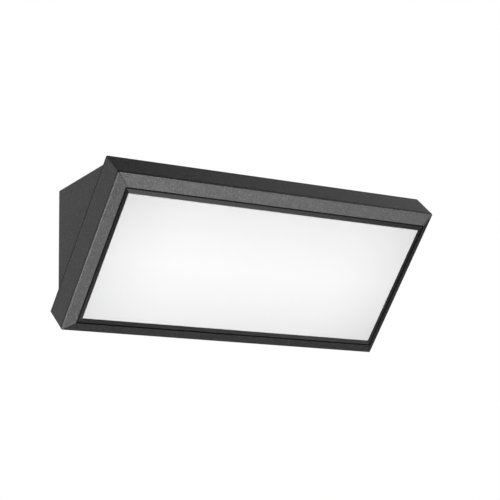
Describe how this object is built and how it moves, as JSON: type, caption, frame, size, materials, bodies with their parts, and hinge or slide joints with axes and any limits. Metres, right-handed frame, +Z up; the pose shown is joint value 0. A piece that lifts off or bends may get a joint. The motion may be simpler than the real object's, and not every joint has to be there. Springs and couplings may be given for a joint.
{
  "type": "outdoor wall light",
  "caption": "Wedge-shaped outdoor wall light: a tilted, bevelled cast frame round an opal panel, on a cast housing that slides onto a steel wall bracket.",
  "frame": {"origin": "on the wall plane, midway between the bracket's two wall slots", "axes": "+X to the right along the wall, +Y into the wall, +Z up"},
  "size_m": [0.28, 0.1044, 0.1142],
  "materials": {
    "textured_dark_paint": "fine textured dark grey powder coat",
    "opal_plastic": "opal white, slightly satin",
    "black_rubber": "smooth",
    "grey_rubber": "soft pad",
    "white_plastic": "matt white",
    "bare_aluminium": "bare rolled sheet",
    "board_white": "white solder mask",
    "lamp_yellow": "phosphor",
    "connector_ivory": "moulded",
    "stainless_steel": "stainless",
    "zinc_steel": "zinc plated sheet",
    "driver_plastic": "light grey, satin",
    "board_green": "green solder mask",
    "component_dark": "moulded",
    "terminal_plastic": "milky",
    "brass": "machined",
    "black_plastic": "moulded",
    "tinned_copper": "tinned",
    "brown_lead": "silicone",
    "blue_lead": "silicone",
    "earth_lead": "silicone, green and yellow",
    "red_lead": "silicone",
    "black_lead": "silicone"
  },
  "bodies": {
    "bracket": {"wall_bracket": "zinc_steel"},
    "lamp": {"front_frame": "textured_dark_paint", "diffuser": "opal_plastic", "diffuser_seal": "black_rubber", "housing_gasket": "black_rubber", "reflector": "white_plastic", "lamp_plate": "bare_aluminium", "thermal_pad": "grey_rubber", "lamp_board": "board_white", "lamp_chips": "lamp_yellow", "lamp_connector": "connector_ivory", "lead_grommet": "black_rubber", "frame_screws": "stainless_steel", "plate_screws": "stainless_steel", "board_screws": "stainless_steel", "housing": "textured_dark_paint", "cable_grommet": "black_rubber", "driver_case": "driver_plastic", "driver_cover": "driver_plastic", "driver_board": "board_green", "driver_parts": "component_dark", "terminal_block": "terminal_plastic", "terminal_tubes": "brass", "terminal_screws": "zinc_steel", "cable_clamp": "black_plastic", "inner_screws": "stainless_steel", "earth_lug": "tinned_copper", "earth_screw": "brass", "live_lead": "brown_lead", "neutral_lead": "blue_lead", "earth_lead": "earth_lead", "lamp_plus_lead": "red_lead", "lamp_minus_lead": "black_lead"},
    "left_washer": {"left_lock_washer": "stainless_steel"},
    "left_screw": {"left_lock_screw": "stainless_steel"},
    "right_washer": {"right_lock_washer": "stainless_steel"},
    "right_screw": {"right_lock_screw": "stainless_steel"}
  },
  "joints": [
    {"name": "lamp_slide", "type": "slide", "parent": "bracket", "child": "lamp", "axis": [0, -1, 0], "range_m": [0, 0.04]},
    {"name": "left_washer_lift", "type": "slide", "parent": "bracket", "child": "left_washer", "axis": [0, 0, 1], "range_m": [0, 0.0021]},
    {"name": "left_screw_turn", "type": "hinge", "parent": "left_washer", "child": "left_screw", "pos_m": [-0.08, -0.0055, 0.0413], "axis": [0, 0, 1], "range_deg": [0, 1080]},
    {"name": "right_washer_lift", "type": "slide", "parent": "bracket", "child": "right_washer", "axis": [0, 0, 1], "range_m": [0, 0.0021]},
    {"name": "right_screw_turn", "type": "hinge", "parent": "right_washer", "child": "right_screw", "pos_m": [0.08, -0.0055, 0.0413], "axis": [0, 0, 1], "range_deg": [0, 1080]}
  ],
  "couplings": [
    {"joint": "left_screw_turn", "follows": "left_washer_lift", "rad_per_m": 8976},
    {"joint": "right_screw_turn", "follows": "right_washer_lift", "rad_per_m": 8976}
  ]
}
